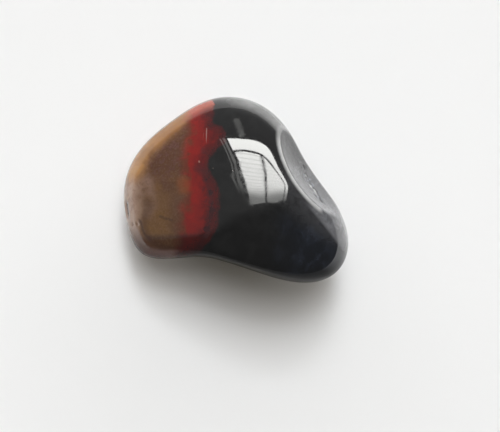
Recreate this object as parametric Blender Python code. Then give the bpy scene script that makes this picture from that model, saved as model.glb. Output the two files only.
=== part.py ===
"""A tumbled and polished sardonyx pebble, about 20 mm long, lying on its flattest side.

The stone is one natural piece, so it is one solid. Its surface is written as a distance from a
point inside it, in every direction: a domed crown, a domed underside and a wavy girdle are rolled
into each other, a shallow scoop is pressed into the right flank, and the underside is worn flat
where the stone rests. +X is its long way, +Z is up, and the origin is under the middle of its box.
"""

import bmesh
import bpy
import numpy as np

MM = 0.001

CELLS = 20      # cells along each side of the cube that is blown out into the stone

# The inner point that all distances start from, and the faces above and below it (mm).
LEVEL = 4.05    # height of the inner point over the surface that the stone rests on
CROWN = 4.5     # from the inner point up to the crown
BASE = 4.2      # from the inner point down to the underside, before it is worn flat
FALL = (0.10, -0.15)            # slope of the crown along X and Y
BEND = (0.019, 0.0105, 0.036)   # how fast the crown bends: along X, diagonally, along Y
BEND_DROP = 0.024               # how much the bend along X grows towards -Y
BEND_END = 0.034                # how much faster the crown rolls down at its -X end
BASE_BEND = 0.038               # how fast the underside bends, the same every way

# The girdle, seen from above: its distance from the inner point every 20 degrees, from +X
# towards +Y (mm). The long lobe is at 320 degrees and the waist under it is at 260 degrees.
GIRDLE = (7.85, 6.7, 6.75, 7.5, 8.3, 8.75, 8.9, 9.5, 10.75,
          12.65, 13.05, 9.65, 6.95, 6.6, 7.4, 9.45, 11.3, 10.15)

# The girdle, seen from the side, every 40 degrees from +X towards +Y.
WIDEST = (0.4, -0.2, -0.9, -1.2, -1.3, -0.6, 1.7, 2.4, 1.3)   # height of its widest line (mm)
BULGE = (5.2, 5.6, 6.0, 6.4, 7.0, 6.6, 8.0, 9.0, 6.4)         # how tall its bulge is (mm)
CRISP = (9, 9, 8, 4.8, 4.4, 4.8, 14, 18, 7)                   # how tight its edges are rolled

# The scoop in the right flank: a big ball that touches the flank at SCOOP_AT (mm).
SCOOP_AT = (5.45, 1.15, 2.2)
SCOOP_AZIMUTH = 33      # the way that the scoop faces, in degrees
SCOOP_RISE = 33
SCOOP_RADIUS = 13.0
SCOOP_CRISP = 10.0      # how tight the rolled edge around it is

TAN = (0.15, 0.075, 0.035)
RED = (0.26, 0.016, 0.012)
BLACK = (0.010, 0.010, 0.011)
RED_FROM = -4.6         # the red band crosses the stone between these two (mm)
RED_TO = -1.9


def ring(values, bearing):
    """A smooth closed curve through evenly spaced values, made of as few waves as pass them all."""
    waves = np.fft.rfft(values) / len(values)
    count = np.arange(len(waves))
    weight = np.where((count == 0) | (count * 2 == len(values)), 1, 2)
    turns = np.exp(1j * np.multiply.outer(bearing, count))
    return np.real(turns @ (waves * weight))


def reach(rise, bend, height):
    """How far a ray runs to a domed face that lies at this height and bends away."""
    return 2 * height / (rise + np.sqrt(rise ** 2 + 2 * bend * height))


def rolled(way):
    """Distance to the crown, the underside and the girdle, rolled into one another."""
    x, y, z = way.T
    bearing = np.arctan2(y, x)
    flat = np.maximum(np.hypot(x, y), 1e-6)
    crown_bend = (BEND[0] - BEND_DROP * y) * x * x + 2 * BEND[1] * x * y + BEND[2] * y * y
    crown_bend = crown_bend + BEND_END * np.maximum(-x, 0) ** 3
    crown = reach(z - FALL[0] * x - FALL[1] * y, crown_bend + 1e-9, CROWN)
    under = reach(-z, BASE_BEND * flat * flat + 1e-9, BASE)
    width = ring(GIRDLE, bearing)
    off = (z - ring(WIDEST, bearing) / width) / ring(BULGE, bearing)
    girdle = 1 / (flat * np.sqrt(width ** -2 + off ** 2))
    p = ring(CRISP, bearing)
    return (crown ** -p + under ** -p + girdle ** -p) ** (-1 / p)


def scooped(way, distance):
    """The distance again, cut back by the ball of the scoop with a rolled edge."""
    turn = np.radians(SCOOP_AZIMUTH)
    rise = np.radians(SCOOP_RISE)
    facing = np.array([np.cos(rise) * np.cos(turn), np.cos(rise) * np.sin(turn), np.sin(rise)])
    ball = np.array(SCOOP_AT) + SCOOP_RADIUS * facing
    along = way @ ball
    inside = along ** 2 - (ball @ ball - SCOOP_RADIUS ** 2)
    hit = (inside > 0) & (along > 0)
    near = np.where(hit, along - np.sqrt(np.maximum(inside, 0)), 99.0)
    least = np.minimum(distance, near)
    spill = np.exp(-SCOOP_CRISP * (distance - least)) + np.exp(-SCOOP_CRISP * (near - least))
    return least - np.log(spill) / SCOOP_CRISP


def stone_points(cube):
    """Points of the stone in millimetres, from points on a cube that reaches from -1 to 1."""
    way = np.tan(cube * np.pi / 4)
    way /= np.linalg.norm(way, axis=1)[:, None]
    points = way * scooped(way, rolled(way))[:, None]
    points[:, 2] = np.maximum(points[:, 2] + LEVEL, 0)
    middle = (points.min(axis=0) + points.max(axis=0)) / 2
    return points - [middle[0], middle[1], 0]


def polished(name, colour):
    material = bpy.data.materials.new(name)
    material.use_nodes = True
    shader = material.node_tree.nodes["Principled BSDF"]
    shader.inputs["Base Color"].default_value = (*colour, 1)
    shader.inputs["Roughness"].default_value = 0.06
    shader.inputs["Metallic"].default_value = 0
    return material


def make_stone():
    """A cube cut into a fine grid, blown out into the shape of the stone."""
    mesh = bpy.data.meshes.new("sardonyx_stone")
    shape = bmesh.new()
    bmesh.ops.create_cube(shape, size=2)
    bmesh.ops.subdivide_edges(shape, edges=shape.edges[:], cuts=CELLS - 1, use_grid_fill=True)
    cube = np.array([vertex.co for vertex in shape.verts])
    for vertex, point in zip(shape.verts, stone_points(cube)):
        vertex.co = point * MM
    bmesh.ops.recalc_face_normals(shape, faces=shape.faces[:])
    shape.to_mesh(mesh)
    shape.free()
    mesh.shade_smooth()

    for material in (polished("tan_band", TAN), polished("red_band", RED), polished("black_band", BLACK)):
        mesh.materials.append(material)
    for face in mesh.polygons:
        across = face.center.x / MM
        face.material_index = int(across > RED_FROM) + int(across > RED_TO)

    stone = bpy.data.objects.new("sardonyx_stone", mesh)
    bpy.context.scene.collection.objects.link(stone)
    return stone


for old in list(bpy.data.objects):
    bpy.data.objects.remove(old, do_unlink=True)

stone = make_stone()
box = stone.dimensions / MM
print(f"sardonyx_stone: {box.x:.2f} x {box.y:.2f} x {box.z:.2f} mm")
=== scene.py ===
# %% [markdown]
# # A tumbled sardonyx
#
# Sardonyx is chalcedony, a quartz so fine that no grains show, laid down in bands of tan, red and
# near-black. This piece was broken off, rolled with others in a tumbler for weeks and polished,
# so it has no flat faces left, only a domed crown, a round girdle, a waist and one shallow scoop.
# This lesson builds it in three steps: the shape as a formula, the colour as bands that run
# through the whole body, and a soft window light that lets the polish show.
#
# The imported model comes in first. It is the stone at its real size, and everything below is
# placed in its frame: +X along the stone, +Y across it, +Z up, in metres.

# %% Load the frame
import math

import bpy
import numpy as np
from mathutils import Matrix, Vector


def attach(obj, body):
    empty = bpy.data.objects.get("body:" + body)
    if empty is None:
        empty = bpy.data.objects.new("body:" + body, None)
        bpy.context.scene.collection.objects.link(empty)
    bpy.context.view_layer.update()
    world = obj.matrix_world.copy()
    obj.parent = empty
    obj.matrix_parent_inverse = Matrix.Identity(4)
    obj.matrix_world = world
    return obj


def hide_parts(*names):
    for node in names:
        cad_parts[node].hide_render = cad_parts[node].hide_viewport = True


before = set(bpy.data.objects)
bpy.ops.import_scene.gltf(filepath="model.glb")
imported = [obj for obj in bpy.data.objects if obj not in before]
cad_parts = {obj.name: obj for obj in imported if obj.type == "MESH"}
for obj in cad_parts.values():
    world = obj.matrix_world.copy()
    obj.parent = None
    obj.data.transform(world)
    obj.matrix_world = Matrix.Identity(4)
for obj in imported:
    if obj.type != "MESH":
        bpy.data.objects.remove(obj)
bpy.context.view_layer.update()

MM = 0.001

# %% [markdown]
# ## The camera
#
# The stone is seen almost straight from above, from 9 cm away, with the camera leaning a little
# towards the lower left. So near, a long lens would flatten it and a short one would swell it.
# The camera's own three directions are given here, because a top view has no natural "up". Its
# place and directions were fitted to a photograph of the stone, and rounded.

# %% Camera
def look_from(place_mm, right, back, lens):
    """A camera at a place in mm, whose picture runs along right and that looks against back."""
    back = Vector(back).normalized()
    right = Vector(right)
    right = (right - right.dot(back) * back).normalized()
    turned = Matrix((right, back.cross(right), back)).transposed().to_4x4()
    turned.translation = Vector(place_mm) * MM
    camera = bpy.data.objects.new("camera", bpy.data.cameras.new("camera"))
    camera.data.sensor_width = 36
    camera.data.lens = lens
    camera.data.clip_start = 0.001
    bpy.context.scene.collection.objects.link(camera)
    camera.matrix_world = turned
    return camera


camera = look_from(
    place_mm=(-7.21, -11.3, 91.785),
    right=(0.9954, -0.0029, 0.0963),
    back=(-0.0961, -0.1001, 0.9903),
    lens=72,
)
bpy.context.scene.camera = camera
print("camera stands", round(camera.matrix_world.translation.z / MM, 1), "mm above the floor")

# %% [markdown]
# ## The body of the stone
#
# A pebble has no edges to extrude and no axis to spin about, so it is written as a distance: from
# a point inside, how far is it to the surface in each direction? Three simple faces answer: a
# domed crown, a domed underside, and a girdle that wanders in and out. Taking the p-norm of the
# three, (a^-p + b^-p + c^-p)^(-1/p), rolls them into each other just as tumbling does: a large p
# leaves a crisp edge, a small one a soft shoulder. The girdle's reaches were first read off the
# outline in a photograph, then changed until outline and reflections came close.

# %% Crown, underside and girdle
LEVEL = 4.05                    # height of the inner point over the floor, in mm
CROWN, BASE = 4.5, 4.2          # from it up to the crown and down to the underside
FALL = (0.10, -0.15)            # slope of the crown along X and Y
BEND = (0.019, 0.0105, 0.036)   # bend of the crown along X, diagonally and along Y
BEND_DROP = 0.024               # how much the bend along X grows towards -Y
BEND_END = 0.034                # how much faster the crown rolls down at its -X end
BASE_BEND = 0.038

GIRDLE = (7.85, 6.7, 6.75, 7.5, 8.3, 8.75, 8.9, 9.5, 10.75,
          12.65, 13.05, 9.65, 6.95, 6.6, 7.4, 9.45, 11.3, 10.15)   # its reach every 20 degrees
WIDEST = (0.4, -0.2, -0.9, -1.2, -1.3, -0.6, 1.7, 2.4, 1.3)        # its height every 40 degrees
BULGE = (5.2, 5.6, 6.0, 6.4, 7.0, 6.6, 8.0, 9.0, 6.4)              # how tall it bulges
CRISP = (9, 9, 8, 4.8, 4.4, 4.8, 14, 18, 7)                        # p of the roll


def ring(values, bearing):
    """A smooth closed curve through evenly spaced values: the sum of their few Fourier waves."""
    waves = np.fft.rfft(values) / len(values)
    count = np.arange(len(waves))
    weight = np.where((count == 0) | (count * 2 == len(values)), 1, 2)
    turns = np.exp(1j * np.multiply.outer(bearing, count))
    return np.real(turns @ (waves * weight))


def reach(rise, bend, height):
    """Distance to a dome: the ray climbs at rise, the face drops by bend times distance squared."""
    return 2 * height / (rise + np.sqrt(rise ** 2 + 2 * bend * height))


def rolled(way):
    """Distance along unit vectors to the crown, underside and girdle, joined by a p-norm."""
    x, y, z = way.T
    bearing = np.arctan2(y, x)
    flat = np.maximum(np.hypot(x, y), 1e-6)
    crown_bend = (BEND[0] - BEND_DROP * y) * x * x + 2 * BEND[1] * x * y + BEND[2] * y * y
    crown_bend = crown_bend + BEND_END * np.maximum(-x, 0) ** 3
    crown = reach(z - FALL[0] * x - FALL[1] * y, crown_bend + 1e-9, CROWN)
    under = reach(-z, BASE_BEND * flat * flat + 1e-9, BASE)
    width = ring(GIRDLE, bearing)
    off = (z - ring(WIDEST, bearing) / width) / ring(BULGE, bearing)
    girdle = 1 / (flat * np.sqrt(width ** -2 + off ** 2))
    p = ring(CRISP, bearing)
    return (crown ** -p + under ** -p + girdle ** -p) ** (-1 / p)


print("girdle every 90 degrees:", np.round(ring(GIRDLE, np.radians([0, 90, 180, 270])), 1), "mm")

# %% [markdown]
# ## The scoop
#
# The right flank is dished, where a flake once came off and the tumbler only softened the hollow.
# A big ball pressed into the flank gives that shape. Its distance is joined to the body's by a
# soft minimum, so the ridge between crown and scoop is a thin rolled edge that catches light.

# %% Scoop
SCOOP_AT = np.array([5.45, 1.15, 2.2])      # where the ball touches, from the inner point
SCOOP_RADIUS = 13.0
SCOOP_TURN = math.radians(33)               # the way it faces, and as much upwards
SCOOP_FACES = np.array([math.cos(SCOOP_TURN) ** 2, math.cos(SCOOP_TURN) * math.sin(SCOOP_TURN),
                        math.sin(SCOOP_TURN)])
SCOOP_BALL = SCOOP_AT + SCOOP_RADIUS * SCOOP_FACES
SCOOP_CRISP = 10.0


def scooped(way, distance):
    """Soft minimum of the body's distance and the near side of the ball, -log(e^-ka + e^-kb)/k."""
    along = way @ SCOOP_BALL
    inside = along ** 2 - (SCOOP_BALL @ SCOOP_BALL - SCOOP_RADIUS ** 2)
    hit = (inside > 0) & (along > 0)
    near = np.where(hit, along - np.sqrt(np.maximum(inside, 0)), 99.0)
    least = np.minimum(distance, near)
    spill = np.exp(-SCOOP_CRISP * (distance - least)) + np.exp(-SCOOP_CRISP * (near - least))
    return least - np.log(spill) / SCOOP_CRISP


print("the scoop's ball is centred at", np.round(SCOOP_BALL, 1), "mm")

# %% [markdown]
# ## Dents that the tumbler left
#
# The polish stops at a few small hollows: a thin crescent chip on the left end, two pits beside
# it, and a string of vugs in the scoop, where the bands end in tiny crystals. They are real
# hollows in the surface. Each is a capsule, a line with a width, pressed in with a smooth bell.

# %% Chips and pits
# each: start, end (mm from the middle of the base), width and depth
CHIPS = (
    ((-9.56, -1.45, 3.90), (-9.44, -2.50, 3.85), 0.26, 0.17),
    ((-9.07, -3.2, 4.4), (-8.98, -3.3, 4.4), 0.11, 0.07),
    ((-8.66, -3.2, 4.85), (-8.55, -3.3, 4.9), 0.09, 0.04),
)
VUGS = (
    ((6.42, 0.10, 6.10), (6.46, 0.02, 6.12), 0.15, 0.12),
    ((6.85, -0.30, 6.10), (6.98, -0.65, 6.30), 0.17, 0.10),
    ((7.10, -1.00, 6.50), (7.22, -1.42, 6.75), 0.16, 0.09),
    ((6.66, -0.95, 6.90), (6.70, -1.05, 6.95), 0.12, 0.07),
    ((5.92, 1.86, 5.30), (5.98, 1.70, 5.35), 0.13, 0.06),
    ((6.08, 1.12, 5.60), (6.14, 0.98, 5.66), 0.13, 0.07),
)
DENTS = CHIPS + VUGS


def dented(points, outward):
    """Points moved inwards by depth times e^-(d/width)^2, d the distance to each capsule's line."""
    moved = points.copy()
    for start, end, width, depth in DENTS:
        start, run = np.array(start), np.array(end) - np.array(start)
        share = np.clip((points - start) @ run / (run @ run), 0, 1)
        gap = np.linalg.norm(points - start - share[:, None] * run, axis=1)
        moved -= outward * (depth * np.exp(-(gap / width) ** 2))[:, None]
    return moved


print(len(DENTS), "dents, the deepest", max(dent[3] for dent in DENTS), "mm")

# %% [markdown]
# ## From a grid to a closed skin
#
# A globe of rows and columns would pinch at its poles, and a pinch shows in a polish. So the grid
# is that of a cube: each of its six faces has two parameters, u and v, that run over 90 degrees,
# and every grid point is pushed out to the stone's surface. Points on the cube's edges belong to
# two or three faces, so they are merged by their whole-number place, which leaves no seam.

# %% Grid
CELLS = 128     # cells along each side of each face: 6 x 128 x 128 four-sided faces


def cube_grid(cells):
    """Directions tan(u), tan(v), 1 turned to each face of a cube, and quads facing outwards."""
    step = np.tan(np.linspace(-np.pi / 4, np.pi / 4, cells + 1))
    u, v = np.meshgrid(np.arange(cells + 1), np.arange(cells + 1), indexing="ij")
    faces = []
    for axis in range(3):
        for side in (0, cells):
            face = np.zeros((cells + 1, cells + 1, 3), int)
            first, second = ((axis + 1) % 3, (axis + 2) % 3)[:: 1 if side else -1]
            face[..., axis] = side
            face[..., first] = u
            face[..., second] = v
            faces.append(face)
    place = np.array(faces) @ [(cells + 1) ** 2, cells + 1, 1]
    kept, index = np.unique(place, return_inverse=True)
    index = index.reshape(place.shape)
    corners = (index[:, :-1, :-1], index[:, 1:, :-1], index[:, 1:, 1:], index[:, :-1, 1:])
    quads = np.stack(corners, -1).reshape(-1, 4)
    cube = np.stack([kept // (cells + 1) ** 2, kept // (cells + 1) % (cells + 1), kept % (cells + 1)], -1)
    way = step[cube]
    return way / np.linalg.norm(way, axis=1)[:, None], quads


def skin_normals(points, quads):
    """Outward normals at the points: the cross products of each quad's diagonals, summed."""
    a, b, c, d = (points[quads[:, k]] for k in range(4))
    across = np.cross(c - a, d - b)
    total = np.zeros_like(points)
    for k in range(4):
        np.add.at(total, quads[:, k], across)
    return total / np.linalg.norm(total, axis=1)[:, None]


way, quads = cube_grid(CELLS)
print(len(way), "points and", len(quads), "quads")

# %% [markdown]
# ## The stone as one piece
#
# Now the steps come together: body, scoop, flat spot, then the box is centred and the dents are
# pressed in. The underside is worn flat where the stone rests, so it can't roll. The mesh is
# shaded smooth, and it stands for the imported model's only node.

# %% Stone
def stone_points(way):
    """The whole shape in mm: direction times distance, raised by LEVEL and cut flat at zero."""
    points = way * scooped(way, rolled(way))[:, None]
    points[:, 2] = np.maximum(points[:, 2] + LEVEL, 0)
    middle = (points.min(axis=0) + points.max(axis=0)) / 2
    return points - [middle[0], middle[1], 0], middle


def as_mesh(name, points, quads):
    """A mesh from whole arrays: points in mm and four-sided faces."""
    mesh = bpy.data.meshes.new(name)
    mesh.vertices.add(len(points))
    mesh.vertices.foreach_set("co", (points * MM).astype(np.float32).ravel())
    mesh.loops.add(quads.size)
    mesh.loops.foreach_set("vertex_index", quads.astype(np.int32).ravel())
    mesh.polygons.add(len(quads))
    mesh.polygons.foreach_set("loop_start", np.arange(0, quads.size, 4, dtype=np.int32))
    mesh.update(calc_edges=True)
    mesh.shade_smooth()
    return mesh


points, middle = stone_points(way)
points = dented(points, skin_normals(points, quads))
points[:, 2] = np.maximum(points[:, 2], 0)
stone = bpy.data.objects.new("sardonyx", as_mesh("sardonyx", points, quads))
bpy.context.scene.collection.objects.link(stone)
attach(stone, "root")
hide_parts("sardonyx_stone")
print("stone:", np.round(points.max(axis=0) - points.min(axis=0), 2), "mm")

# %% [markdown]
# ## Small helpers for the colour
#
# The finish is built from shader nodes. A few helpers keep the steps readable: one that adds a
# node and plugs in its inputs, one for arithmetic, one that multiplies masks, one that turns a
# value into a soft step, and one for clouds of noise. Everything is measured in millimetres from
# the middle of the base, so a Mapping node first multiplies Object coordinates by 1000.

# %% Node helpers
class Board:
    """A node tree that is filled one node at a time."""

    def __init__(self, tree):
        self.tree = tree

    def add(self, kind, inputs=(), **settings):
        """Adds a node, sets its settings, and plugs numbers or other nodes' outputs into it."""
        node = self.tree.nodes.new("ShaderNode" + kind)
        for name, value in settings.items():
            setattr(node, name, value)
        for name, value in dict(inputs).items():
            if isinstance(value, bpy.types.NodeSocket):
                self.tree.links.new(value, node.inputs[name])
            else:
                node.inputs[name].default_value = value
        return node

    def sum(self, operation, *values):
        """One arithmetic node on up to three values."""
        return self.add("Math", enumerate(values), operation=operation).outputs[0]

    def both(self, *masks):
        """The masks multiplied together, so that all of them have to be there."""
        product = masks[0]
        for mask in masks[1:]:
            product = self.sum("MULTIPLY", product, mask)
        return product

    def step(self, value, low, high, to=(0, 1)):
        """A soft step that is to[0] below low and to[1] above high."""
        inputs = {"Value": value, "From Min": low, "From Max": high, "To Min": to[0], "To Max": to[1]}
        return self.add("MapRange", inputs, interpolation_type="SMOOTHSTEP").outputs[0]

    def scale(self, value, low, high, to=(0, 1)):
        """A straight change of scale from low..high to to[0]..to[1], with no limits."""
        inputs = {"Value": value, "From Min": low, "From Max": high, "To Min": to[0], "To Max": to[1]}
        return self.add("MapRange", inputs, clamp=False).outputs[0]

    def mix(self, share, first, second):
        """One colour laid over another by a share."""
        inputs = {0: share, 6: first, 7: second}
        return self.add("Mix", inputs, data_type="RGBA").outputs[2]

    def cloud(self, place, scale, detail=3, rough=0.55, warp=0.0):
        """Noise in millimetres: scale is how many swirls fit in a millimetre."""
        inputs = {"Vector": place, "Scale": scale, "Detail": detail, "Roughness": rough, "Distortion": warp}
        return self.add("TexNoise", inputs)

    def shaken(self, place, scale, detail, far):
        """The same place, moved about by noise by up to about half of far millimetres."""
        noise = self.cloud(place, scale, detail, 0.6).outputs["Color"]
        noise = self.add("VectorMath", {0: noise, 1: (0.5, 0.5, 0.5)}, operation="SUBTRACT").outputs[0]
        inputs = {0: noise, 1: (far, far, far), 2: place}
        return self.add("VectorMath", inputs, operation="MULTIPLY_ADD").outputs[0]


def colour(red, green, blue):
    """A colour as seen on screen, 0 to 255, turned into the linear value that a shader takes."""
    seen = [part / 255 for part in (red, green, blue)]
    return (*[part / 12.92 if part < 0.04 else ((part + 0.055) / 1.055) ** 2.4 for part in seen], 1.0)


print("screen grey 128 is linear", round(colour(128, 128, 128)[0], 3))

# %% [markdown]
# ## Marks as a node group
#
# Cracks, scratches, smears and pits are all the same thing to a shader: a line from one point to
# another with a width. One node group measures how near the surface is to that line and puts out
# a mask. It is used for every mark below, each time with its own ends and width.

# %% Group: mark
def make_mark_group():
    """Mask that is 1 on the line from Start to End and falls to 0 at Width from it."""
    tree = bpy.data.node_groups.new("mark", "ShaderNodeTree")
    for name, kind in (("Place", "NodeSocketVector"), ("Start", "NodeSocketVector"),
                       ("End", "NodeSocketVector"), ("Width", "NodeSocketFloat")):
        tree.interface.new_socket(name, in_out="INPUT", socket_type=kind)
    tree.interface.new_socket("Mask", in_out="OUTPUT", socket_type="NodeSocketFloat")
    board = Board(tree)
    given = tree.nodes.new("NodeGroupInput").outputs
    result = tree.nodes.new("NodeGroupOutput")

    def vector(operation, first, second):
        return board.add("VectorMath", enumerate((first, second)), operation=operation)

    run = vector("SUBTRACT", given["End"], given["Start"]).outputs[0]
    off = vector("SUBTRACT", given["Place"], given["Start"]).outputs[0]
    along = vector("DOT_PRODUCT", off, run).outputs["Value"]
    whole = vector("DOT_PRODUCT", run, run).outputs["Value"]
    share = board.add("Clamp", {"Value": board.sum("DIVIDE", along, whole)}).outputs[0]
    foot = board.add("VectorMath", {"Vector": run, "Scale": share}, operation="SCALE")
    gap = vector("DISTANCE", off, foot.outputs[0]).outputs["Value"]
    near = board.sum("DIVIDE", gap, given["Width"])
    tree.links.new(board.step(near, 0.25, 1.0, to=(1, 0)), result.inputs["Mask"])
    return tree


MARK = make_mark_group()


def mark_on(board, place, start, end, width):
    """The mask of one mark."""
    node = board.tree.nodes.new("ShaderNodeGroup")
    node.node_tree = MARK
    board.tree.links.new(place, node.inputs["Place"])
    for name, value in (("Start", start), ("End", end), ("Width", width)):
        node.inputs[name].default_value = value
    return node.outputs["Mask"]


print("group", MARK.name, "has", len(MARK.nodes), "nodes")

# %% [markdown]
# ## Where the bands run
#
# The bands were laid down one after another, so their borders are sheets that run through the
# whole stone. Each is written as "x at which the colour changes", as a smooth curve of y, and is
# shaken a little by noise in three dimensions, so that it wanders on the flanks and the underside
# too. The curves' points were read along the borders in a photograph and traced onto the stone.
# The border to the tan side is soft, the one to the black side is nearly sharp.

# %% Band borders
SPAN = 10       # both curves are drawn from -SPAN to SPAN, in mm


def border(board, y, knots):
    """A curve node that gives x for y: knots are (y, x) in mm, joined smoothly."""
    curve = board.add("FloatCurve", {"Value": board.scale(y, -SPAN, SPAN)})
    line = curve.mapping.curves[0]
    while len(line.points) < len(knots):
        line.points.new(0.5, 0.5)
    for point, (at, value) in zip(line.points, knots):
        point.location = ((at + SPAN) / (2 * SPAN), (value + SPAN) / (2 * SPAN))
        point.handle_type = "AUTO"
    curve.mapping.update()
    return board.scale(curve.outputs[0], 0, 1, (-SPAN, SPAN))


TAN_TO_RED = ((-9, -5.2), (-5.2, -4.9), (-3.8, -4.8), (-1.4, -4.4), (0.1, -4.25),
              (1.6, -4.55), (3.9, -4.2), (6.0, -4.2), (9, -3.9))
RED_TO_BLACK = ((-9, -3.6), (-6.4, -3.5), (-5.4, -3.1), (-4.9, -2.5), (-4.1, -2.05), (-2.9, -1.77),
                (-1.4, -1.70), (-0.1, -1.88), (0.7, -2.38), (1.9, -2.50), (2.7, -2.05),
                (3.3, -1.42), (3.95, -1.10), (4.8, -1.45), (5.4, -2.0), (6.5, -2.1), (9, -2.0))
red_width = dict(RED_TO_BLACK)[-1.4] - dict(TAN_TO_RED)[-1.4]
print("the red band is", round(red_width, 1), "mm wide at the middle of the stone")

# %% [markdown]
# ## Tan, red and black
#
# Each zone gets its own small recipe. The tan end is honey brown inside, clouded with plum and a
# few pale wisps. Its rim is painted lighter ochre and mauve, as the glow through the thin edge and
# the floor mirrored in the polish. The red band is bright on its left and dark on its right, with
# plum-black blotches, a dark vein and a paler rim painted on the window's side. Tan and red get
# painted shade at their -Y end, away from the window. The black is almost flat, with a breath of
# blue in the long lobe, partly painted reflection, and a smoky grey skin where it thins towards
# the girdle, painted as sheen and as the glow through the thin edge.

# %% Tan zone
GRAIN = (5.0, 3, 0.7)       # scale, detail and roughness of the fine grain in tan and red


def tan_zone(board, place, x, y, level):
    """Honey brown with plum clouds and pale wisps, painted shade at -Y, and a painted lighter rim low on
    the flank.
    """
    slow = board.cloud(place, 0.35, 3, 0.6, 0.5).outputs[0]
    fine = board.cloud(place, 1.6, 4, 0.65, 0.6).outputs[0]
    grain = board.cloud(place, *GRAIN).outputs[0]

    # honey brown, redder towards +Y, with olive and plum clouds
    inner = board.mix(board.step(slow, 0.40, 0.60), colour(92, 62, 30), colour(78, 50, 31))
    inner = board.mix(board.step(y, -0.6, 1.6, to=(0, 0.75)), inner, colour(66, 37, 23))
    olive = board.both(board.step(y, -1.2, -0.2, to=(0.6, 0)), board.step(x, -6.4, -5.2, to=(1, 0)))
    inner = board.mix(olive, inner, colour(98, 69, 34))
    plum = board.both(board.step(y, -0.2, 1.2, to=(0, 0.5)), board.step(fine, 0.44, 0.60))
    inner = board.mix(plum, inner, colour(82, 52, 48))
    inner = board.mix(board.step(fine, 0.56, 0.74, to=(0, 0.35)), inner, colour(62, 38, 26))
    inner = board.mix(board.step(fine, 0.30, 0.44, to=(0.25, 0)), inner, colour(96, 62, 42))

    # pale wisps, strongest in one patch
    stretched = board.add("Mapping", {"Vector": place, "Rotation": (0, 0, 0.9), "Scale": (0.6, 1.5, 1)})
    wisp = board.cloud(stretched.outputs[0], 0.6, 3, 0.5, 0.2).outputs[0]
    patch = mark_on(board, place, (-8.0, 0.2, 5.6), (-7.6, -1.9, 5.7), 1.3)
    wisp = board.both(board.step(wisp, 0.33, 0.66), board.sum("MULTIPLY_ADD", patch, 0.60, 0.05))
    inner = board.mix(wisp, inner, colour(124, 98, 86))

    # painted shade: darker at the -Y end, away from the window, then the grain
    inner = board.mix(board.step(y, -4.6, -4.1, to=(0.75, 0)), inner, colour(56, 34, 24))
    inner = board.mix(board.step(grain, 0.45, 0.80, to=(0, 0.22)), inner, colour(126, 100, 84))
    inner = board.mix(board.step(grain, 0.25, 0.50, to=(0.3, 0)), inner, colour(56, 34, 24))

    # painted shade: a dark line where the crown turns into the rim
    level = board.sum("ADD", level, board.step(y, -3.8, -1.6, to=(0.06, 0)))
    shade_line = board.both(board.step(level, 0.785, 0.815), board.step(level, 0.83, 0.865, to=(1, 0)),
                      board.step(y, -1.6, -0.6, to=(0.4, 0)))
    inner = board.mix(shade_line, inner, colour(58, 34, 26))

    # the rim, painted lighter as the glow through the thin edge and the floor mirrored in the polish:
    # mauve towards -Y and ochre towards +Y, browner under the widest line
    ochre = board.mix(board.step(slow, 0.35, 0.65), colour(155, 113, 68), colour(138, 98, 58))
    ochre = board.mix(board.step(y, 2.5, 5.0), ochre, colour(128, 86, 44))
    mauve = board.mix(board.step(fine, 0.35, 0.65), colour(152, 127, 110), colour(140, 114, 99))
    rim_glow = board.mix(board.step(y, -0.2, 1.2), mauve, ochre)
    rim_glow = board.mix(board.step(y, -5.0, -2.8, to=(1, 0)), rim_glow, colour(82, 56, 44))
    rim_glow = board.mix(board.step(y, -6.1, -5.2, to=(1, 0)), rim_glow, colour(122, 98, 94))
    upper = board.both(board.step(y, -0.5, 1.0), board.step(slow, 0.35, 0.62, to=(0, 0.35)))
    rim_glow = board.mix(upper, rim_glow, colour(120, 84, 50))
    rim_glow = board.mix(board.step(fine, 0.50, 0.72, to=(0, 0.25)), rim_glow, colour(98, 70, 54))
    under = board.sum("MULTIPLY_ADD", slow, 0.5, board.sum("SUBTRACT", level, 0.25))
    rim_glow = board.mix(board.step(under, -0.15, 0.40, to=(0.85, 0)), rim_glow, colour(94, 62, 40))

    # the painted rim is laid where the surface turns steep, with a wavy inner edge
    wavy = board.sum("MULTIPLY_ADD", slow, 0.08, board.sum("SUBTRACT", level, 0.04))
    return board.mix(board.step(wavy, 0.72, 0.83, to=(1, 0)), inner, rim_glow)


print("tan zone is ready")

# %% Red zone
REDS = (    # share of the way across the band, and the colour there
    (0.00, colour(88, 34, 18)),
    (0.20, colour(108, 17, 11)),
    (0.45, colour(99, 13, 10)),
    (0.72, colour(70, 12, 12)),
    (1.00, colour(50, 14, 15)),
)


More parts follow.
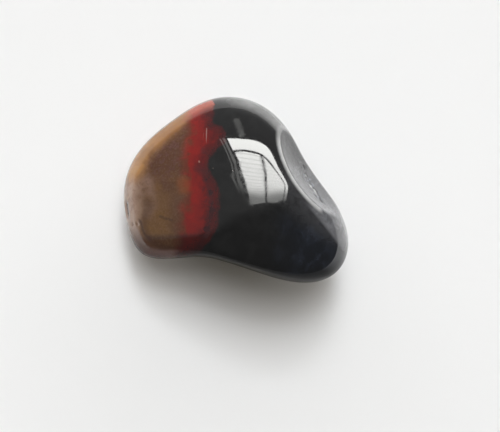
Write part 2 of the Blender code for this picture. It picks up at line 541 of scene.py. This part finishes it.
def red_zone(board, place, y, level, across):
    """Bright to dark red across the band, with plum blotches, painted shade at -Y, a rim painted paler at
    +Y, and fine grain.
    """
    mottle = board.cloud(place, 1.1, 5, 0.62, 0.6).outputs[0]
    depth = board.sum("ADD", across, board.sum("MULTIPLY_ADD", mottle, 0.9, -0.45))
    ramp = board.add("ValToRGB", {"Fac": depth})
    stops = ramp.color_ramp.elements
    stops[0].position, stops[0].color = REDS[0]
    stops[1].position, stops[1].color = REDS[-1]
    for at, shade in REDS[1:-1]:
        stops.new(at).color = shade
    shade = ramp.outputs[0]
    blot = board.cloud(place, 1.7, 3, 0.5, 0.4).outputs[0]
    blot = board.both(board.step(blot, 0.58, 0.70), board.step(across, 0.2, 0.6, to=(0.15, 0.45)))
    shade = board.mix(blot, shade, colour(46, 16, 24))
    bright = board.cloud(place, 0.8, 2, 0.5, 0.3).outputs[0]
    bright = board.both(board.step(bright, 0.48, 0.66, to=(0, 0.7)),
                        board.step(across, 0.3, 0.65, to=(1, 0.1)))
    shade = board.mix(bright, shade, colour(120, 18, 11))
    # painted shade: darker at the -Y end, away from the window
    shade = board.mix(board.step(y, -4.6, -4.1, to=(0.8, 0)), shade, colour(42, 13, 12))
    # painted light: a paler rim on the window's side, towards +Y
    rim_glow = board.both(board.step(level, 0.62, 0.80, to=(0.8, 0)), board.step(level, 0.05, 0.45),
                     board.step(y, 2.0, 4.0))
    shade = board.mix(rim_glow, shade, colour(152, 72, 54))
    grain = board.cloud(place, *GRAIN).outputs[0]
    return board.mix(board.step(grain, 0.25, 0.50, to=(0.35, 0)), shade, colour(46, 14, 14))


print("red zone is ready, with", len(REDS), "reds")

# %% Black zone
SLANT = (0.75, 0.66)        # the way from the crown to the far flank, along X and Y


def aslant(board, x, y):
    """How far a place lies along the slant: x and y, each times its share, added up."""
    return board.sum("ADD", board.sum("MULTIPLY", x, SLANT[0]), board.sum("MULTIPLY", y, SLANT[1]))


def black_zone(board, place, x, y, level):
    """Near-black, bluer and cloudier in the long lobe, partly painted reflection, with painted sheen in
    smoky grey low on the far flank.
    """
    cloudy = board.cloud(place, 0.7, 5, 0.6, 0.8).outputs[0]
    shade = board.mix(board.step(cloudy, 0.42, 0.66), colour(15, 15, 15), colour(22, 22, 22))
    lobe = board.both(board.step(x, 1.5, 6.0), board.step(y, -4.5, -1.5, to=(1, 0)))
    shade = board.mix(board.both(lobe, 0.8), shade, colour(17, 20, 26))
    # lighter blue-grey clouds in the lobe: partly its own mottling, partly painted reflection of the room
    drift = board.cloud(place, 0.8, 5, 0.6, 0.5).outputs[0]
    shade = board.mix(board.both(lobe, board.step(drift, 0.44, 0.72)), shade, colour(33, 37, 46))
    # painted sheen: smoky grey low on the far flank and at the lobe's tip, standing in for the floor
    # mirrored in the polish and the glow through the thin edge
    smoke_and_sheen = board.both(board.step(aslant(board, x, y), 3.6, 5.8),
                       board.step(level, 0.66, 0.84, to=(1, 0)),
                       board.step(level, -0.1, 0.5, to=(0.25, 1)),
                       board.step(cloudy, 0.32, 0.58, to=(0.75, 1)))
    sheen_tip = board.both(board.step(x, 7.6, 9.0), board.step(y, -5.4, -3.8),
                     board.step(cloudy, 0.30, 0.60, to=(0.5, 1)))
    return board.mix(board.sum("MAXIMUM", smoke_and_sheen, sheen_tip), shade, colour(104, 104, 103))


print("black zone is ready")

# %% [markdown]
# ## The marks on the polish
#
# Close up, the polish shows its history: a dark vein down the right of the red band, a crack
# round the left shoulder, fine scratches, a pale grey streak on the black and a few pale specks.
# Each mark is one entry in a list: its ends, its width, how strongly it shows, and its colour. Most
# of the places were read off a photograph and traced onto the stone.

# %% List of marks
VEIN = colour(34, 14, 19)
UMBER = colour(52, 30, 22)
PALE = colour(176, 158, 150)
MARKS = (
    # the vein down the right of the red band
    ((-2.89, 0.30, 8.0), (-2.42, -0.90, 8.2), 0.30, 0.45, VEIN),
    ((-2.42, -0.90, 8.2), (-2.32, -2.40, 8.3), 0.34, 0.50, VEIN),
    ((-2.32, -2.40, 8.3), (-2.73, -4.00, 8.2), 0.40, 0.45, VEIN),
    ((-2.73, -4.00, 8.2), (-3.20, -5.30, 7.7), 0.36, 0.35, VEIN),
    # the plum blotch in the middle of the band
    ((-3.45, 1.25, 7.65), (-2.95, 0.85, 7.8), 0.62, 0.50, colour(48, 15, 18)),
    ((-3.05, 2.95, 7.4), (-2.95, 2.75, 7.4), 0.40, 0.50, colour(54, 14, 17)),
    # a crack at the left shoulder and the smudge inside it
    ((-8.38, -3.0, 5.2), (-8.14, -4.1, 5.3), 0.24, 0.70, UMBER),
    ((-8.14, -4.1, 5.3), (-7.50, -4.7, 5.5), 0.22, 0.50, UMBER),
    ((-6.62, -2.78, 6.42), (-6.20, -2.95, 6.65), 0.20, 0.45, colour(44, 30, 24)),
    ((-6.10, -2.98, 6.70), (-5.60, -3.14, 6.93), 0.16, 0.45, colour(46, 32, 25)),
    # orange where tan meets red
    ((-4.75, 0.10, 7.4), (-4.60, -0.45, 7.4), 0.85, 0.40, colour(124, 66, 32)),
    # the pits on the left end and the chip beside them
    ((-9.07, -3.2, 4.4), (-8.98, -3.3, 4.4), 0.16, 0.75, colour(80, 40, 34)),
    ((-8.66, -3.2, 4.85), (-8.55, -3.3, 4.9), 0.13, 0.50, colour(84, 46, 40)),
    ((-9.50, -1.45, 3.92), (-9.38, -2.50, 3.87), 0.28, 0.85, colour(58, 38, 32)),
    # fine scratches across red and black
    ((-2.70, 4.90, 6.7), (-2.76, 3.50, 7.25), 0.070, 0.40, PALE),
    ((-2.95, 4.50, 6.8), (-3.05, 3.80, 7.05), 0.060, 0.25, PALE),
    ((-1.62, 4.00, 7.2), (-1.30, 3.30, 7.5), 0.060, 0.35, colour(150, 140, 130)),
    # a pale grey streak on the black
    ((-0.26, 5.90, 6.5), (-0.04, 4.95, 6.95), 0.13, 0.75, colour(118, 118, 116)),
    ((-0.08, 5.50, 6.8), (0.28, 4.20, 7.35), 0.46, 0.34, colour(92, 92, 90)),
    # specks
    ((-3.38, 1.89, 7.54), (-3.36, 1.80, 7.55), 0.09, 0.32, colour(180, 150, 136)),
    ((-2.22, 1.24, 7.97), (-2.20, 1.20, 7.97), 0.06, 0.14, PALE),
    ((-0.55, 1.00, 8.3), (-0.52, 0.97, 8.3), 0.06, 0.20, PALE),
    ((-0.35, -1.95, 8.6), (-0.30, -2.0, 8.6), 0.08, 0.30, PALE),
)
print(len(MARKS), "marks")

# %% [markdown]
# ## The finish of the stone
#
# The zones meet in one Principled shader. Its base colour is the three of them laid over each
# other, then faint layers on the flanks, where the bands are cut edge on, then the marks, and last
# the greyer skin of the scoop, with painted shading and glints, a painted highlight along its
# rolled edge and a painted sheen beside it. The scoop is found by its own formula: the surface
# there lies on the ball, so its distance to the ball's centre is the ball's radius.
# Roughness is low, with a faint bloom, and higher in the scoop, its vugs and the marks. The index
# of refraction is a single number, so it is set on the shader itself.

# %% Bands
REFRACTION = 1.55       # about that of quartz
material = bpy.data.materials.new("sardonyx")
material.use_nodes = True
board = Board(material.node_tree)
shader = material.node_tree.nodes["Principled BSDF"]
shader.inputs["IOR"].default_value = REFRACTION

coordinates = board.add("TexCoord").outputs
in_mm = {"Vector": coordinates["Object"], "Scale": (1 / MM, 1 / MM, 1 / MM)}
place = board.add("Mapping", in_mm).outputs[0]
x, y, z = board.add("SeparateXYZ", {"Vector": place}).outputs
level = board.add("SeparateXYZ", {"Vector": coordinates["Normal"]}).outputs[2]
wander = board.add("SeparateXYZ", {"Vector": board.shaken(place, 0.8, 5, 1.1)}).outputs

to_red = board.sum("SUBTRACT", wander[0], border(board, y, TAN_TO_RED))
to_black = board.sum("SUBTRACT", wander[0], border(board, wander[1], RED_TO_BLACK))
across = board.sum("DIVIDE", to_red, board.sum("SUBTRACT", to_red, to_black))

tan = tan_zone(board, place, x, y, level)
red = red_zone(board, place, y, level, across)
black = black_zone(board, place, x, y, level)
surface = board.mix(board.step(to_red, -0.75, 0.35), tan, red)
surface = board.mix(board.step(to_black, -0.10, 0.16), surface, black)
print("bands laid:", len(material.node_tree.nodes), "nodes so far")

# %% Layers on the flanks
sheets = {"Vector": board.shaken(place, 0.5, 3, 0.9), "Scale": (1.1, 0.07, 0.07)}
layers = board.cloud(board.add("Mapping", sheets).outputs[0], 1.3, 4, 0.6).outputs[0]
layers = board.both(board.step(layers, 0.40, 0.66), board.step(level, 0.25, 0.65, to=(0.42, 0)))
surface = board.mix(layers, surface, colour(34, 26, 23))
print("layers laid:", len(material.node_tree.nodes), "nodes so far")

# %% Marks over the bands
HAIRLINE = 0.12         # marks narrower than this, in mm, stay straight
wobbled = board.shaken(place, 3.0, 3, 0.35)
scars = 0.0
for start, stop, width, strength, shade in MARKS:
    mark = mark_on(board, place if width < HAIRLINE else wobbled, start, stop, width)
    mark = board.both(mark, strength)
    surface = board.mix(mark, surface, shade)
    scars = board.sum("MAXIMUM", scars, mark)
print("marks laid:", len(material.node_tree.nodes), "nodes so far")

# %% Skin of the scoop
VUG_SPREAD = 1.6        # how much wider the dark of a vug is than its dent
GLINT_WIDTH = 0.10
# painted glints where tiny crystals catch the light, start and end in mm
GLINTS = (
    ((6.55, 0.12, 6.00), (6.56, 0.08, 6.02)),
    ((6.62, -0.62, 6.60), (6.66, -0.70, 6.62)),
    ((6.86, -0.86, 6.55), (6.90, -0.95, 6.58)),
    ((7.02, -0.92, 6.40), (7.04, -0.98, 6.42)),
)
ball = Vector(SCOOP_BALL - [middle[0], middle[1], -LEVEL])
from_ball = board.add("VectorMath", {0: place, 1: ball}, operation="DISTANCE").outputs["Value"]


def off_ball(near, far, to=(0, 1)):
    """A soft step between two distances off the ball's surface, in mm."""
    return board.step(from_ball, SCOOP_RADIUS + near, SCOOP_RADIUS + far, to)


scoop = off_ball(0.02, 0.20, to=(1, 0))
frost = board.cloud(place, 1.3, 6, 0.68, 0.5).outputs[0]
# the scoop's frosted grey, with painted shading: darker towards +Y, lighter towards -Y
upper = board.mix(board.step(frost, 0.38, 0.64), colour(20, 20, 22), colour(50, 50, 52))
lower = board.mix(board.step(frost, 0.38, 0.64), colour(90, 90, 94), colour(136, 136, 139))
grey = board.mix(board.step(y, -1.5, 3.0), lower, upper)
speck = board.both(board.step(board.cloud(place, 5.0, 2, 0.5).outputs[0], 0.60, 0.72),
                   mark_on(board, wobbled, (6.2, 0.9, 5.8), (7.4, -1.9, 6.9), 0.9))
grey = board.mix(speck, grey, colour(176, 190, 206))
pits = 0.0
for start, stop, width, depth in VUGS:
    pits = board.sum("MAXIMUM", pits, mark_on(board, wobbled, start, stop, width * VUG_SPREAD))
grey = board.mix(board.both(pits, 0.75), grey, colour(30, 30, 34))
# painted glints
for start, stop in GLINTS:
    grey = board.mix(mark_on(board, place, start, stop, GLINT_WIDTH), grey, colour(226, 234, 242))
surface = board.mix(board.both(scoop, 0.92), surface, grey)
print("scoop laid:", len(material.node_tree.nodes), "nodes so far")

# %% Edge of the scoop
# painted highlight: pale grey at the lower end of the scoop's rolled edge
sheen_tip = board.both(board.step(aslant(board, x, y), 2.82, 3.18), board.step(y, -2.4, -1.4, to=(1, 0)),
                 board.step(y, -6.6, -3.6), board.step(frost, 0.3, 0.6, to=(0.8, 1)))
surface = board.mix(sheen_tip, surface, colour(126, 126, 130))
# painted sheen: a grey halo on the flank beside the scoop, towards -Y
halo_sheen = board.both(off_ball(0.3, 2.6, to=(0.8, 0)), board.step(y, -0.5, 2.0, to=(1, 0)),
                  board.step(frost, 0.3, 0.6, to=(0.4, 1)))
surface = board.mix(halo_sheen, surface, colour(60, 60, 62))
# painted highlight: a pale line along the scoop's rolled edge
ridge_highlight = board.both(off_ball(0.10, 0.38, to=(1, 0)), off_ball(0.03, 0.065),
                   board.step(x, 6.7, 7.2, to=(1, 0)), board.step(z, 4.8, 6.0),
                   board.step(y, 3.0, 4.8, to=(1, 0.35)), board.step(frost, 0.3, 0.6, to=(0.75, 1)))
surface = board.mix(ridge_highlight, surface, colour(174, 174, 173))
material.node_tree.links.new(surface, shader.inputs["Base Color"])
print("edge laid:", len(material.node_tree.nodes), "nodes so far")

# %% Roughness and relief
POLISH = (0.03, 0.07)                           # roughness of the polish, clear to bloomed
ROUGHER = ((scars, 0.25), (scoop, 0.14), (pits, 0.35))
RIPPLE, PITTING, SCARRING = 0.003, 0.035, 0.012     # heights in mm
rough = board.step(board.cloud(place, 2.2, 4, 0.6).outputs[0], 0.35, 0.70, to=POLISH)
for mask, more in ROUGHER:
    rough = board.sum("ADD", rough, board.both(mask, more))
material.node_tree.links.new(rough, shader.inputs["Roughness"])

ripple = board.both(board.cloud(place, 0.45, 2, 0.4).outputs[0], RIPPLE)
height = board.sum("ADD", ripple, board.both(frost, scoop, PITTING))
height = board.sum("SUBTRACT", height, board.both(scars, SCARRING))
relief = board.add("Bump", {"Height": height, "Strength": 1.0, "Distance": MM})
material.node_tree.links.new(relief.outputs[0], shader.inputs["Normal"])
stone.data.materials.append(material)
print("finish done:", len(material.node_tree.nodes), "nodes")

# %% [markdown]
# ## The floor
#
# A stone shows best on a plain pale floor, whose white comes back round the rim of the polish.
# Even a matte floor has a sheen: seen along the sheet it is brightest to the sides, less bright
# towards the window and dark away from it. The lens sees it from above only, but the polish
# mirrors it at every angle, so for mirror rays the sheet has its own brightness. Far off, where
# only a low camera looks, the sheet fades into the backdrop, so no horizon cuts the picture.

# %% Floor
def plain_sheet(name, corners):
    """A flat object with one face through the corners, in metres."""
    mesh = bpy.data.meshes.new(name)
    mesh.from_pydata(corners, [], [tuple(range(len(corners)))])
    sheet = bpy.data.objects.new(name, mesh)
    bpy.context.scene.collection.objects.link(sheet)
    return sheet


def bare_material(name, kind):
    """A new material with one shader of a kind, and the board to add to it."""
    bare = bpy.data.materials.new(name)
    bare.use_nodes = True
    bare.node_tree.nodes.clear()
    board = Board(bare.node_tree)
    shader = board.add(kind)
    output = board.add("OutputMaterial")
    bare.node_tree.links.new(shader.outputs[0], output.inputs["Surface"])
    return bare, board, shader


FLOOR_REACH = 0.6       # metres from the stone to each side of the sheet
FADE = (0.15, 0.50)     # metres over which it fades into the backdrop
WHITE = 0.86            # how much light it throws back
SHEEN = 1.6             # brightness for mirror rays along it: to the sides,
LESS = 0.45             # how much less towards the window,
DULL = 0.25             # and away from the window
UPRIGHT = (0.45, 0.9)   # for steep mirror rays: away from the window and towards it
corners = [(-FLOOR_REACH, -FLOOR_REACH, 0), (FLOOR_REACH, -FLOOR_REACH, 0),
           (FLOOR_REACH, FLOOR_REACH, 0), (-FLOOR_REACH, FLOOR_REACH, 0)]
floor = plain_sheet("floor", corners)
pale, page, matte = bare_material("floor", "BsdfDiffuse")
spot = page.add("TexCoord").outputs["Object"]
aim = page.add("VectorMath", {0: spot}, operation="NORMALIZE").outputs[0]
towards = page.add("SeparateXYZ", {"Vector": aim}).outputs[1]
sheen = page.step(towards, -0.75, -0.15, to=(DULL, SHEEN))
sheen = page.sum("SUBTRACT", sheen, page.step(towards, 0.1, 0.7, to=(0, LESS)))
glancing = page.add("LayerWeight", {"Blend": 0.5}).outputs["Facing"]
upright = page.step(towards, -0.65, -0.15, to=UPRIGHT)
sheen = page.scale(page.step(glancing, 0.0, 0.35), 0, 1, (upright, sheen))
ray = page.add("LightPath").outputs
white = page.scale(ray["Is Glossy Ray"], 0, 1, (WHITE, sheen))
white = page.add("CombineColor", {"Red": white, "Green": white, "Blue": white}).outputs[0]
pale.node_tree.links.new(white, matte.inputs["Color"])

far_off = page.add("VectorMath", {0: spot}, operation="LENGTH").outputs["Value"]
gone = page.both(page.step(far_off, *FADE), ray["Is Camera Ray"])
clear = page.add("BsdfTransparent").outputs[0]
faded = page.add("MixShader", {0: gone, 1: matte.outputs[0], 2: clear}).outputs[0]
pale.node_tree.links.new(faded, pale.node_tree.nodes["Material Output"].inputs["Surface"])
floor.data.materials.append(pale)
print("floor is", round(floor.dimensions.x, 2), "m wide")

# %% [markdown]
# ## The light
#
# A polished stone is a mirror, so its light is as much a shape as a brightness. One tall window
# stands behind the stone. Its panes are flat sheets that glow, all in one upright plane, with
# thin gaps for the frame. Each pane is given by how far it lies aside and up, as a share of its
# distance. The corners come from a photograph: the window's reflection was traced back off the
# polish, then rounded. The glow fades upwards and drops behind a blind, and fine dark lines cross
# the panes. In the polish the panes look a little brighter and warmer than the light that they
# give the floor, so mirror rays get a tint of their own.

# %% Window light
WINDOW_AWAY = 0.4       # metres
WINDOW_FOOT = 0.88      # its lower edge, like the next three a share of the distance or of the glow
BLIND = (2.15, 2.85)    # where the blind begins and where it is closed
BEHIND_BLIND = 0.30     # how much of the glow comes through it
LINE_EVERY = 0.115      # from one fine line to the next
GLOW = 17.0
GLOW_TINT = (0.97, 1.0, 1.03, 1.0)
MIRROR_TINT = (1.055, 1.06, 1.03, 1.0)


def bow(up):
    """How far aside the window's right edge lies at a height, both as shares of the distance."""
    swell = np.clip((up - 1.3) / 1.0, 0, 1)
    return 0.19 + 0.27 * swell ** 2 * (3 - 2 * swell) + 0.05 * np.maximum(up - 2.2, 0)


def bowed(first, last, inwards, count=10):
    """Corners along the right edge from one height to another, moved inwards."""
    return [(float(bow(up)) - inwards, float(up)) for up in np.linspace(first, last, count)]


def pane(name, corners, glow, lines=0.0):
    """A glowing sheet in the window's plane, with an optional share of darkness in fine lines."""
    sheet = plain_sheet(name, [(x * WINDOW_AWAY, WINDOW_AWAY, z * WINDOW_AWAY) for x, z in corners])
    glass, board, shader = bare_material(name, "Emission")
    up = board.add("SeparateXYZ", {"Vector": board.add("TexCoord").outputs["Object"]}).outputs[2]
    up = board.sum("DIVIDE", up, WINDOW_AWAY)
    light = board.both(board.step(up, *BLIND, to=(1, BEHIND_BLIND)), board.scale(up, 1, 2, (1, 0.85)))
    wave = board.sum("SINE", board.scale(up, 0, LINE_EVERY, (0, 2 * math.pi)))
    dark = board.step(wave, 0.50, 1.00, to=(glow, glow * (1 - lines)))
    glass.node_tree.links.new(board.both(light, dark), shader.inputs["Strength"])
    mirrored = board.add("LightPath").outputs["Is Glossy Ray"]
    tint = board.mix(mirrored, GLOW_TINT, MIRROR_TINT)
    glass.node_tree.links.new(tint, shader.inputs["Color"])
    sheet.data.materials.append(glass)
    return sheet


pane("pane_outer", [(-0.24, 0.865), (-0.03, 0.9), (0.1, WINDOW_FOOT), (0.17, 0.91)]
     + bowed(1.0, 3.05, 0) + bowed(3.02, 1.35, 0.09)
     + [(0.06, 1.21), (0.02, 1.185), (-0.11, 1.19), (-0.17, 1.2)], GLOW)
pane("pane_left", [(-0.14, 1.26), (-0.05, 1.24), (0.03, 1.25), (0.0, 1.6), (-0.02, 2.2), (-0.03, 3.0),
                   (-0.36, 3.4), (-0.28, 2.84), (-0.19, 2.05), (-0.12, 1.5)], GLOW, lines=0.28)
pane("pane_right", [(0.05, 1.26)] + bowed(1.45, 3.0, 0.12) + [(0.01, 2.95), (0.005, 2.2), (0.02, 1.58)],
     GLOW * 0.97, lines=0.12)
pane("strip_near", [(-0.34, 0.85), (-0.29, 0.85), (-0.16, 1.5), (-0.27, 2.4), (-0.43, 3.5), (-0.47, 3.5),
                    (-0.31, 2.4), (-0.21, 1.6)], 2.4)
pane("strip_far", [(-0.41, 0.85), (-0.38, 0.85), (-0.26, 1.6), (-0.33, 2.4), (-0.49, 3.5), (-0.52, 3.5),
                   (-0.36, 2.4), (-0.30, 1.6)], 2.1)
print("the window begins at", round(math.degrees(math.atan(WINDOW_FOOT))), "degrees of elevation")

# %% [markdown]
# ## The room
#
# Floor and window alone would leave the shadow too hard and the black too flat. What the matte
# surfaces get from the room is soft: a little from everywhere, a broad glow high on the window's
# side and a low one under it. The polish mirrors something plainer, a paler wall on the window's
# side and a dark ceiling, and the lens sees a plain pale backdrop. The high glow and the light
# from everywhere were fitted to the shadow in a photograph, the low glow was then set.

# %% Room
TO_WALL = (-0.514, 0.857, 0)        # the way to the paler wall
TO_GLOW = (0, 0.423, 0.906)         # and to the middle of the high glow
WALL, CEILING = 0.42, 0.16          # brightness in the polish
ALL_ROUND = 0.15                    # what matte surfaces get from everywhere,
HIGH_GLOW, LOW_GLOW = 3.7, 4.5      # and from the two glows
BACKDROP = 0.90
ALL_ROUND_TINT = (1.10, 1.0, 0.84, 1)
PLAIN_TINT = (1, 1, 1, 1)

world = bpy.data.worlds.new("room")
world.use_nodes = True
bpy.context.scene.world = world
room = Board(world.node_tree)
background = world.node_tree.nodes["Background"].inputs
away = room.add("TexCoord").outputs["Generated"]
sides = room.add("SeparateXYZ", {"Vector": away}).outputs
wall = room.add("VectorMath", {0: away, 1: TO_WALL}, operation="DOT_PRODUCT").outputs["Value"]
high_up = room.add("VectorMath", {0: away, 1: TO_GLOW}, operation="DOT_PRODUCT").outputs["Value"]
low_down = room.both(room.step(sides[2], 0.25, 0.45, to=(1, 0)), room.step(sides[1], 0.2, 0.7))
soft = room.sum("MULTIPLY_ADD", low_down, LOW_GLOW, ALL_ROUND)
soft = room.sum("MULTIPLY_ADD", room.step(high_up, 0.88, 0.99), HIGH_GLOW, soft)
mirror = room.step(wall, 0.22, 0.30, to=(CEILING, WALL))
path = room.add("LightPath").outputs
strength = room.scale(path["Is Glossy Ray"], 0, 1, (soft, mirror))
strength = room.scale(path["Is Camera Ray"], 0, 1, (strength, BACKDROP))
world.node_tree.links.new(strength, background["Strength"])
plain = room.sum("MAXIMUM", path["Is Glossy Ray"], path["Is Camera Ray"])
plain = room.sum("MAXIMUM", room.step(soft, 0.2, 0.8), plain)
world.node_tree.links.new(room.mix(plain, ALL_ROUND_TINT, PLAIN_TINT), background["Color"])
bpy.context.scene.view_settings.view_transform = "Standard"
print("room is set")
